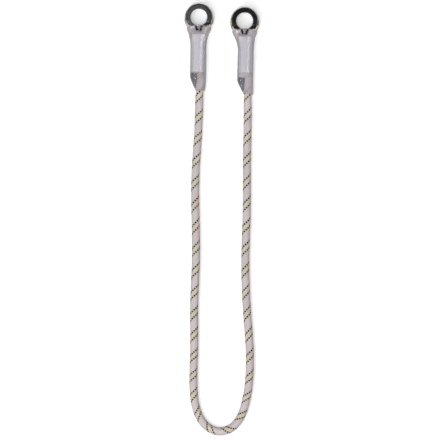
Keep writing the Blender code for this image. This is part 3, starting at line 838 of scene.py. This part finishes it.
for side, eye in EYES.items():
    rows = []
    for y, half_depth in ((eye["tail_end"] - GAP, LEG_HALF[1]), *TAIL_SEAL):
        row = sleeve_station(eye, y)
        left = row["left"] + SEAL_INSET
        right = standing_x(eye, y) - GRIPPED_RADIUS - GAP
        rows.append((mix(left, right, 0.5), y, row["z"], (right - left) / 2, half_depth))
    path = natural_spline(rows, SEAL_STEPS)
    x, y, z = path[:, 0:1], path[:, 1:2], path[:, 2:3]
    angle = 2 * np.pi * np.arange(SEAL_SIDES) / SEAL_SIDES
    lumps = np.sin(3 * angle[None] + y) * np.sin(y * 0.9 + 2 * angle[None])
    radii = path[:, 3:5, None] * np.ones(SEAL_SIDES) + MELT_DEPTH * (lumps[:, None] - 1.0)
    across, up = radii[:, 0] * np.cos(angle), radii[:, 1] * np.sin(angle)
    points = np.stack((x + across, y + 0 * angle, z + up), -1)
    mesh = mesh_from_grid(f"{side}_melted_tail", points + eye["centre"])
    add_piece(mesh.name, mesh, melt_finish, "tail_seal", f"{side}_tail_seal")
    print(mesh.name, "is", round(rows[0][1] - rows[-1][1], 1), "mm long")

# %% [markdown]
# ## Bonded polyester thread
# The sewing thread is plied and then bonded with a resin, so it has a satin gloss and no fuzz. A
# diagonal ripple shows its ply. Blender's wave texture has about three bands in a unit of scale.

# %% Material of the thread
PLY_MM = 1.1
BANDS_IN_A_UNIT = 3

thread_finish, tree = new_material("bonded polyester thread")
place = node(tree, "TexCoord").outputs["Object"]
ply = node(tree, "TexWave", {
    "Vector": place, "Scale": scale_for(PLY_MM * BANDS_IN_A_UNIT), "Distortion": 0.5,
}, bands_direction="DIAGONAL")
bump = node(tree, "Bump", {"Strength": 0.6, "Distance": 0.2 * MM, "Height": ply.outputs[1]})
finish_with(tree, node(tree, "BsdfPrincipled", {
    "Base Color": linear("#d9d5d0"), "Roughness": 0.45, "Sheen Weight": 0.1, "Normal": bump,
}))

# %% [markdown]
# ## The sewing
# The legs are sewn together with a heavy zig-zag: one thread on the front and the bobbin's on the
# back, where it crosses the other way. A curve with a round bevel is a thread already.

# %% Sew the legs
THREAD_RADIUS = 0.4
STITCH_Y = (-40.0, -70.5)
STITCH_TEETH = 7
STITCH_REACH = 3.4
STITCH_HEIGHT = 6.1

for side, eye in EYES.items():
    for thread, face in (("needle", 1), ("bobbin", -1)):
        curve = bpy.data.curves.new(f"{side}_{thread}_stitching", "CURVE")
        curve.dimensions = "3D"
        curve.bevel_depth = THREAD_RADIUS * MM
        curve.bevel_resolution = 4
        curve.use_fill_caps = True
        curve.resolution_u = 6
        spline = curve.splines.new("BEZIER")
        count = STITCH_TEETH * 2
        spline.bezier_points.add(count - 1)
        for k, point in enumerate(spline.bezier_points):
            y = mix(*STITCH_Y, (k + 0.25) / count)
            x = lean_at(eye, y) + STITCH_REACH * face * (1 if k % 2 == 0 else -1)
            point.co = (np.array((x, y, face * STITCH_HEIGHT)) + eye["centre"]) * MM
            point.handle_left_type = point.handle_right_type = "AUTO"
        add_piece(curve.name, curve, thread_finish, "thread", f"{side}_{thread}_thread")
        print(curve.name, "has", count, "turning points")

# %% [markdown]
# ## Satin polyester film
# Label film is a calendered, bluish-white sheet with a satin face. It is the brightest thing on the
# eye. Pressed between rope and sleeve it is a little mottled, in patches of about 8 mm.

# %% Material of the labels
MOTTLE_MM = 7.7

label_finish, tree = new_material("satin polyester label film")
place = node(tree, "TexCoord").outputs["Object"]
mottle = node(tree, "TexNoise", {"Vector": place, "Scale": scale_for(MOTTLE_MM), "Detail": 3.0})
tone = node(tree, "MapRange", {0: mottle, 1: 0.3, 2: 0.7, 3: 0.95, 4: 1.0})
colour = node(tree, "Mix", {0: 1.0, 6: linear("#dddce1"), 7: tone},
              data_type="RGBA", blend_type="MULTIPLY")
bump = node(tree, "Bump", {"Strength": 0.15, "Distance": 0.3 * MM, "Height": mottle})
finish_with(tree, node(tree, "BsdfPrincipled", {
    "Base Color": colour.outputs[2], "Roughness": 0.45, "Normal": bump,
}))

# %% [markdown]
# ## The label
# A strip of film lies over the front of both legs, under the sleeve. On this part it stays bare. Its
# two faces follow the sleeve's shape at their own depths, so that it never cuts through the film.

# %% Lay the labels
LABEL_INSET = SLEEVE_WALL + 0.2  # a narrow gap under the film
LABEL_THICKNESS = 0.25
LABEL_HALF_WIDTH = 9.4
LABEL_STEPS = (40, 60)

for side, eye in EYES.items():
    across = np.linspace(-1, 1, LABEL_STEPS[0] + 1)
    rings = []
    for y in np.linspace(*eye["label"], LABEL_STEPS[1] + 1):
        row = sleeve_station(eye, y)
        x = lean_at(eye, y) + across * LABEL_HALF_WIDTH
        front, back = [np.stack((x, np.full_like(x, y), sleeve_height(row, x, inset)), -1)
                       for inset in (LABEL_INSET, LABEL_INSET + LABEL_THICKNESS)]
        rings.append(np.concatenate((front, back[::-1])))
    mesh = mesh_from_grid(f"{side}_label_strip", np.array(rings) + eye["centre"])
    mesh.set_sharp_from_angle(angle=math.radians(CRISP_DEGREES))
    add_piece(mesh.name, mesh, label_finish, "label", f"{side}_label")
    length = round(eye["label"][0] - eye["label"][1], 1)
    print(mesh.name, "is", 2 * LABEL_HALF_WIDTH, "x", length, "mm")

# %% [markdown]
# ## Clear shrink film
# The film is slightly milky polyolefin. Most light goes straight through it, and it shows by what it
# reflects: the lamp overhead on its flats, and the dark of the room on its sides. So its shader mixes
# see-through with gloss by the angle of view, as every clear plastic does, and adds some haze, which
# casts no shadow on what is inside. A refracting glass shader would darken that. The mesh says where
# the film is glossy or hazy, and where it drew down so far that it dulled. Over the heel's slots its
# gloss is taken away, painted shade for the dark walls that it would mirror there.

# %% Material of the sleeves
FILM_HAZE = 0.44
FILM_FACING_GLOSS = 0.055
FACING_POWER = 5.0  # how late towards its edges a smooth surface turns into a mirror
FILM_ROUGHNESS = (0.08, 0.5)
RIPPLE_MM = 16.7

film_finish, tree = new_material("clear polyolefin shrink film")
place = node(tree, "TexCoord").outputs["Object"]
ripples = node(tree, "TexNoise", {"Vector": place, "Scale": scale_for(RIPPLE_MM), "Detail": 1.0})
bump = node(tree, "Bump", {"Strength": 0.05, "Distance": 0.8 * MM, "Height": ripples})
# the "gloss" attribute also carries painted shade: it falls to 0 over the heel's slots
FILM_VALUES = ("gloss", "haze", "drawn")
gloss_and_slot_shade, hazy_here, drawn_here = [
    node(tree, "Attribute", attribute_name=title).outputs["Fac"] for title in FILM_VALUES
]
facing = node(tree, "LayerWeight", {"Blend": 0.5}).outputs["Facing"]
grazing = node(tree, "Math", facing, FACING_POWER, operation="POWER")
gloss_share = node(tree, "Math", grazing, 1 - FILM_FACING_GLOSS, FILM_FACING_GLOSS,
                   operation="MULTIPLY_ADD")
# painted shade: the gloss is taken away over the heel's slots
gloss_share = node(tree, "Math", gloss_share, gloss_and_slot_shade, operation="MULTIPLY")
clear = node(tree, "BsdfTransparent", linear("#f8f6f9"))
roughness = node(tree, "MapRange", {0: drawn_here, 3: FILM_ROUGHNESS[0], 4: FILM_ROUGHNESS[1]})
gloss = node(tree, "BsdfGlossy", {"Color": linear("#ffffff"), "Roughness": roughness, "Normal": bump})
smooth_film = node(tree, "MixShader", gloss_share, clear, gloss)
haze = node(tree, "BsdfDiffuse", linear("#b8b3bb"))
not_shadow = node(tree, "LightPath").outputs["Is Shadow Ray"]
not_shadow = node(tree, "Math", 1.0, not_shadow, operation="SUBTRACT")
haze_share = FILM_HAZE
for share in (hazy_here, not_shadow):
    haze_share = node(tree, "Math", haze_share, share, operation="MULTIPLY")
hazy_film = node(tree, "MixShader", haze_share, smooth_film, haze)
inner_side = node(tree, "NewGeometry").outputs["Backfacing"]
unseen = node(tree, "BsdfTransparent")
finish_with(tree, node(tree, "MixShader", inner_side, hazy_film, unseen))

# %% [markdown]
# ## A ring of film
# The film is a tube of rings too. It sinks into the heel's slots, as hot film does, so it has to know
# how far off they are.

# %% A ring of film
FILM_SIDES = 144
CORNER_POINTS = 64


def slot_distance(x, y):
    """How far a point of the film is from the nearer slot's middle line."""
    nearest = np.full(np.shape(x), 1e9)
    for hand in (1, -1):
        top, bottom = [np.array((hand * a, b)) for a, b in SLOT_ENDS]
        line = bottom - top
        t = np.clip(((x - top[0]) * line[0] + (y - top[1]) * line[1]) / (line @ line), 0, 1)
        nearest = np.minimum(nearest, np.hypot(x - top[0] - t * line[0], y - top[1] - t * line[1]))
    return nearest


def film_ring(row):
    """A ring of points evenly spread round the sleeve's outside."""
    angle = np.linspace(-np.pi / 2, np.pi / 2, CORNER_POINTS)
    x = np.concatenate((row["right"] + row["end_right"] * (np.cos(angle) - 1),
                        row["left"] + row["end_left"] * (1 - np.cos(angle))))
    z = np.concatenate((row["deep_right"] * np.sin(angle), -row["deep_left"] * np.sin(angle)))
    x, z = np.append(x, x[0]), np.append(z, z[0])
    along = np.concatenate(([0.0], np.cumsum(np.hypot(np.diff(x), np.diff(z)))))
    at = np.linspace(0, along[-1], FILM_SIDES + 1)[:-1]
    x, z = np.interp(at, along, x), np.interp(at, along, z)
    return x, z + np.where(z > 0, crown_height(row, x), 0.0)


print("points in a ring of film:", len(film_ring(sleeve_station(EYES["left"], MOUTH_Y))[0]))

# %% [markdown]
# ## Shrink the sleeves on
# Three values ride on the mesh's points for the finish. The gloss and the haze stop at a slot: the
# film stretched clear there, and the lost gloss is painted shade for the slot's dark walls. The haze
# also thins where the film clings to the label and to the melted end, because a layer of air makes
# film look milky. The dull part begins where the tail ends.

# %% Shrink the sleeves on
SLEEVE_ARCH_X = 17.05
FILM_MM = 0.35
FILM_STEP = 0.4
SLOT_DIP = 1.5
SLOT_DIP_REACH = 1.6
SLOT_SHADE_RIM = (1.0, 1.4)
WRINKLE = 0.012
WRINKLE_WAVES = (0.55, 0.8)
SEAM_Z, SEAM_FADE = 2.0, 5.0  # along its two sides the film stays smooth
DRAWN_MM = 5.0
CLINGING = 0.45
BORDER_MM = 0.8


def over(distance):
    """1 on the inner side of a border, 0 outside it, with a soft edge."""
    return ease(distance / BORDER_MM)


for side, eye in EYES.items():
    top, bottom = eye["label"]
    rings, gloss_and_slot_shade_at, haze_at, drawn_at = [], [], [], []
    for y in (*np.arange(SLEEVE_STATIONS[-1, 0], MOUTH_Y, -FILM_STEP), MOUTH_Y):
        row = sleeve_station(eye, y)
        x, z = film_ring(row)
        y_here = row["y"] - row["arch"] * (x / SLEEVE_ARCH_X) ** 2
        from_slot = slot_distance(x, y_here)
        in_slot = np.maximum(0, 1 - from_slot / SLOT_DIP_REACH)
        wrinkle = WRINKLE * (1 + np.sin(WRINKLE_WAVES[0] * y + WRINKLE_WAVES[1] * x))
        wrinkle = wrinkle * ease((np.abs(z) - SEAM_Z) / SEAM_FADE)
        z = z - np.sign(z) * (SLOT_DIP * in_slot + wrinkle)
        rings.append(np.stack((x, y_here, z + row["z"]), -1))
        melt_edge = standing_x(eye, y) - GRIPPED_RADIUS
        melt = over(melt_edge - x) * over(eye["tail_end"] - y)
        label = over(LABEL_HALF_WIDTH - np.abs(x - lean_at(eye, y))) * (z > 0)
        label = label * over(top - y) * over(y - bottom)
        # painted shade: over a slot the film loses its gloss, for the dark walls that it would mirror
        gloss_and_slot_shade_at.append(ease((from_slot - SLOT_SHADE_RIM[0]) / (SLOT_SHADE_RIM[1] - SLOT_SHADE_RIM[0])))
        haze_at.append(gloss_and_slot_shade_at[-1] * (1 - CLINGING * np.maximum(melt, label)))
        drawn_at.append(np.full(FILM_SIDES, ease((eye["tail_end"] + DRAWN_MM / 2 - y) / DRAWN_MM)))
    mesh = mesh_from_grid(f"{side}_shrink_film", np.array(rings) + eye["centre"], capped=False)
    for title, values in zip(FILM_VALUES, (gloss_and_slot_shade_at, haze_at, drawn_at)):
        layer = mesh.attributes.new(title, "FLOAT", "POINT")
        layer.data.foreach_set("value", np.array(values).ravel())
    piece = add_piece(mesh.name, mesh, film_finish, "shrink_sleeve", f"{side}_sleeve")
    wall = piece.modifiers.new("film thickness", "SOLIDIFY")
    wall.thickness = FILM_MM * MM
    wall.offset = -1.0
    print(mesh.name, "has", len(mesh.polygons), "faces")

# %% [markdown]
# ## The white table
# The picture was taken on a white table, a matt floor here. For the camera, and for a ray that comes
# by a mirror or through glass, part of its colour is a steady white, so it reads as a plain
# background and still keeps the soft shadow. All other rays find a greyer floor, which throws less
# light back on to the rope's underside.

# %% Build the floor
FLOOR_HALF = 6.0
FLOOR_BOUNCE = 0.35
FLOOR_GLOW = 0.39
FLOOR_SEEN = 1.0


def clear_sight(tree):
    """1 for the rays of the camera, and 1 for those that come by a mirror or through glass."""
    ray = node(tree, "LightPath")
    glossy, passing = ray.outputs["Is Glossy Ray"], ray.outputs["Is Transmission Ray"]
    return ray.outputs["Is Camera Ray"], node(tree, "Math", glossy, passing, operation="MAXIMUM")


floor_mesh = bpy.data.meshes.new("floor")
corners = [(x * FLOOR_HALF, y * FLOOR_HALF, 0) for x, y in ((-1, -1), (1, -1), (1, 1), (-1, 1))]
floor_mesh.from_pydata(corners, [], [(0, 1, 2, 3)])
floor = add_object("floor", floor_mesh)
floor_finish, tree = new_material("white table")
clearly = node(tree, "Math", *clear_sight(tree), operation="MAXIMUM")
matt = node(tree, "BsdfDiffuse", node(tree, "MapRange", {0: clearly, 3: FLOOR_BOUNCE, 4: FLOOR_SEEN}))
glow = node(tree, "Math", clearly, FLOOR_GLOW, operation="MULTIPLY")
glow = node(tree, "Emission", linear("#ffffff"), glow)
finish_with(tree, node(tree, "AddShader", matt, glow))
floor_mesh.materials.append(floor_finish)

# %% [markdown]
# ## The room
# The room gives a dim light, brighter overhead. The camera sees white in its place, and so does a
# mirrored ray that leaves low, towards the backdrop. One that leaves upward finds the dim ceiling,
# which keeps the thimbles black.

# %% Light the room
CEILING_LIGHT = 0.18
DIMMEST = 0.05
BACKDROP_TOP = 0.25

world = bpy.data.worlds.new("room")
bpy.context.scene.world = world
world.use_nodes = True
world.node_tree.nodes.clear()
tree = world.node_tree
upward = node(tree, "SeparateXYZ", node(tree, "TexCoord").outputs["Generated"]).outputs[2]
ceiling = node(tree, "Math", upward, DIMMEST, operation="MAXIMUM")
ceiling = node(tree, "Math", ceiling, CEILING_LIGHT, operation="MULTIPLY")
direct, mirrored = clear_sight(tree)
low = node(tree, "Math", upward, BACKDROP_TOP, operation="LESS_THAN")
mirrored = node(tree, "Math", mirrored, low, operation="MULTIPLY")
in_view = node(tree, "Math", direct, mirrored, operation="MAXIMUM")
strength = node(tree, "Mix", {0: in_view, 2: ceiling, 3: 1.0})
node(tree, "OutputWorld", node(tree, "Background", linear("#ffffff"), strength))
bpy.context.scene.view_settings.view_transform = "Standard"
print("nodes in the world:", len(tree.nodes))

# %% [markdown]
# ## The lamps
# Glossy pieces show the lamps themselves, so a lamp's place and size are chosen for what mirrors it.
# The softbox overhead, a little to the left, is seen in the left ring and label. The right ring looks
# past it and stays black. A second softbox and a key at the lower left cast the shadow to the upper
# right, and a strip at the right softens it. A narrow lamp draws the streak of light down the film,
# and a small card greys the film over the right label. A lamp behind a honeycomb grid, which holds
# its light to a narrow cone, brightens the table inside the eyes.

# %% Light the lanyard
LAMPS = (  # name, place, what it is aimed at, size, power in watts, cone in degrees
    ("softbox", (-0.47, 0.2, 1.5), (-0.47, 0.2, 0.0), (0.9, 0.5), 2.5, 180),
    ("second softbox", (-0.4825, -0.65, 1.5), (-0.4825, -0.65, 0.0), (0.875, 1.2), 9.5, 180),
    ("key", (-0.8, -0.8, 1.2), (0.0, 0.0, 0.0), (0.6, 0.6), 8.0, 180),
    ("strip", (1.6, -0.1, 0.75), (0.0, -0.1, 0.0), (0.4, 1.6), 6.5, 180),
    ("streak", (0.17, 0.2, 1.5), (0.17, 0.2, 0.0), (0.1, 0.5), 0.9, 180),
    ("gridded lamp", (-0.2, 0.0, 1.45), (0.0, 0.285, 0.0), (0.42, 0.32), 0.066, 20),
    ("card", (0.045, 0.175, 1.5), (0.045, 0.175, 0.0), (0.13, 0.25), 0.18, 180),
)

for name, at, to, size, power, cone in LAMPS:
    light = bpy.data.lights.new(name, "AREA")
    light.shape = "RECTANGLE"
    light.size, light.size_y = size
    light.energy = power
    light.spread = math.radians(cone)
    holder = add_object(name, light)
    holder.location = at
    holder.rotation_euler = (Vector(to) - Vector(at)).to_track_quat("-Z", "Y").to_euler()
    holder.visible_camera = False
print("lamps:", len(LAMPS), "with", round(sum(lamp[4] for lamp in LAMPS), 2), "W together")

# %% [markdown]
# ## Finish
# The view layer is brought up to date.

# %% Finish
bpy.context.view_layer.update()
